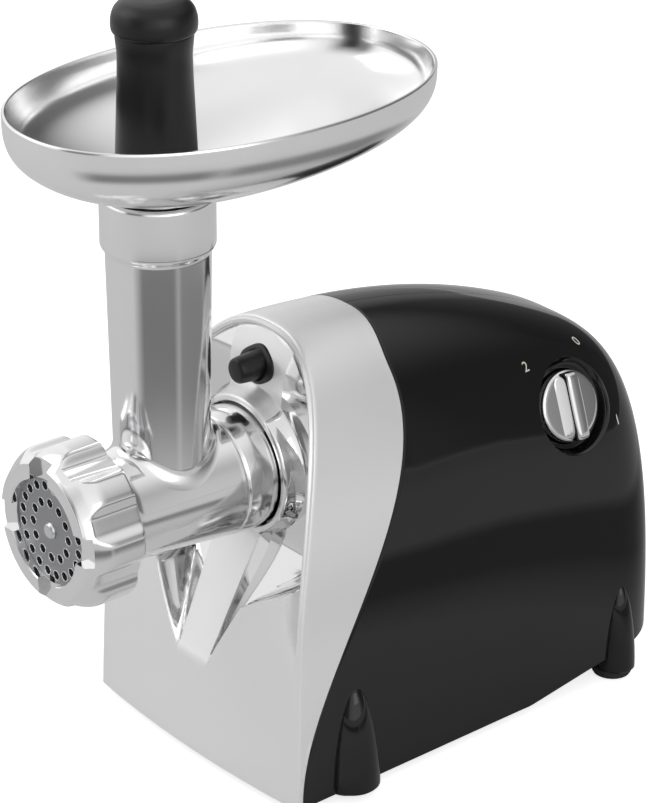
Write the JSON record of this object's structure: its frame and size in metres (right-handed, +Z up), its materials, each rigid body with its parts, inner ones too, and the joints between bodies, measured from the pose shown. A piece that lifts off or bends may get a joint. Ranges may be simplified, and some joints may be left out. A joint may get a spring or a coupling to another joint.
{
  "type": "electric meat grinder",
  "caption": "Countertop electric meat grinder with a twist-off cast grinding head, oval tray, pusher, arched black body, chromed front mask and a side switch knob.",
  "frame": {"origin": "on the table, below the centre of the overall box", "axes": "+X to the knob's side, -Y the way the mince comes out, +Z up"},
  "size_m": [0.175, 0.342, 0.387],
  "materials": {
    "chromed_plastic": "mirror chrome plating on plastic",
    "black_gloss": "high gloss black",
    "black_matt": "fine matt black",
    "black_satin": "satin black",
    "black_rubber": "matt",
    "white_plastic": "natural acetal",
    "zinc_steel": "zinc plated",
    "pressed_steel": "pressed sheet",
    "ground_steel": "ground",
    "spring_steel": "bright drawn wire",
    "stainless": "ground cutting edges",
    "plate_steel": "grey, finely ground",
    "lamination_steel": "stacked laminations",
    "die_cast": "as cast",
    "cast_aluminium": "polished casting",
    "satin_tray": "drawn sheet, softly polished",
    "bronze": "sintered bronze",
    "brass_sheet": "pressed sheet",
    "copper_wire": "enamelled winding wire",
    "copper_bar": "turned copper",
    "carbon": "pressed carbon"
  },
  "bodies": {
    "machine": {"front_mask": "chromed_plastic", "housing_right": "black_gloss", "housing_left": "black_gloss", "base_plate": "black_matt", "rubber_feet": "black_rubber", "foot_screws": "zinc_steel", "housing_screws": "zinc_steel", "head_socket": "die_cast", "socket_screws": "zinc_steel", "gearbox_front_plate": "pressed_steel", "gearbox_rear_plate": "pressed_steel", "gearbox_posts": "zinc_steel", "bearing_bushes": "bronze", "gear_pins": "ground_steel", "lock_spring": "spring_steel", "switch_body": "black_matt", "cord_gland": "black_rubber", "stator_core": "lamination_steel", "field_coils": "copper_wire", "motor_front_bracket": "die_cast", "motor_rear_bracket": "die_cast", "motor_rear_mount": "black_matt", "brush_holders": "brass_sheet", "carbon_brushes": "carbon", "motor_bolts": "zinc_steel"},
    "rotor": {"armature_core": "lamination_steel", "armature_shaft": "ground_steel", "armature_windings": "copper_wire", "commutator": "copper_bar", "cooling_fan": "black_matt", "motor_pinion": "ground_steel"},
    "gear_a": {"gear_cluster_a": "white_plastic"},
    "gear_b": {"gear_cluster_b": "ground_steel"},
    "screw": {"output_shaft": "ground_steel", "output_gear": "ground_steel", "drive_coupling": "white_plastic", "feed_screw": "cast_aluminium", "screw_stud": "ground_steel", "cross_knife": "stainless"},
    "head": {"head_casting": "cast_aluminium", "screw_bush": "bronze", "plate_key": "ground_steel"},
    "plate": {"cutting_plate": "plate_steel"},
    "nut": {"ring_nut": "cast_aluminium"},
    "tray": {"tray": "satin_tray", "tray_spigot": "satin_tray"},
    "pusher": {"pusher_body": "black_satin", "pusher_cap": "black_satin"},
    "lock": {"lock_button": "black_gloss", "lock_latch": "zinc_steel"},
    "knob": {"control_knob": "chromed_plastic", "knob_spindle": "white_plastic"}
  },
  "joints": [
    {"name": "motor_spin", "type": "hinge", "parent": "machine", "child": "rotor", "pos_m": [0, 0.069, 0.0735], "axis": [0, 1, 0], "continuous": true},
    {"name": "gear_a_spin", "type": "hinge", "parent": "machine", "child": "gear_a", "pos_m": [-0.00175, 0.012, 0.09543], "axis": [0, 1, 0], "continuous": true},
    {"name": "gear_b_spin", "type": "hinge", "parent": "machine", "child": "gear_b", "pos_m": [0.01374, 0.004, 0.11754], "axis": [0, 1, 0], "continuous": true},
    {"name": "screw_spin", "type": "hinge", "parent": "machine", "child": "screw", "pos_m": [0, -0.041, 0.147], "axis": [0, 1, 0], "continuous": true},
    {"name": "head_twist", "type": "hinge", "parent": "machine", "child": "head", "pos_m": [0, -0.041, 0.147], "axis": [0, -1, 0], "range_deg": [0, 35]},
    {"name": "plate_slide", "type": "slide", "parent": "head", "child": "plate", "axis": [0, -1, 0], "range_m": [0, 0.00751]},
    {"name": "nut_turn", "type": "hinge", "parent": "plate", "child": "nut", "pos_m": [0, -0.161, 0.147], "axis": [0, -1, 0], "range_deg": [0, 900]},
    {"name": "tray_lift", "type": "slide", "parent": "head", "child": "tray", "axis": [0, 0, 1], "range_m": [0, 0.06]},
    {"name": "pusher_lift", "type": "slide", "parent": "tray", "child": "pusher", "axis": [0, 0, 1], "range_m": [0, 0.19]},
    {"name": "lock_press", "type": "slide", "parent": "machine", "child": "lock", "axis": [0, 1, 0], "range_m": [0, 0.005], "stiffness_N_per_m": 500, "springref_m": -0.003, "deforming": ["lock_spring"]},
    {"name": "knob_turn", "type": "hinge", "parent": "machine", "child": "knob", "pos_m": [0.055, 0.107, 0.149], "axis": [0.9397, 0, 0.342], "range_deg": [-60, 60]}
  ],
  "couplings": [
    {"joint": "gear_a_spin", "follows": "motor_spin", "ratio": -0.22222},
    {"joint": "gear_b_spin", "follows": "motor_spin", "ratio": 0.063492},
    {"joint": "screw_spin", "follows": "motor_spin", "ratio": -0.019048},
    {"joint": "plate_slide", "follows": "nut_turn", "m_per_rad": 0.00047746}
  ]
}
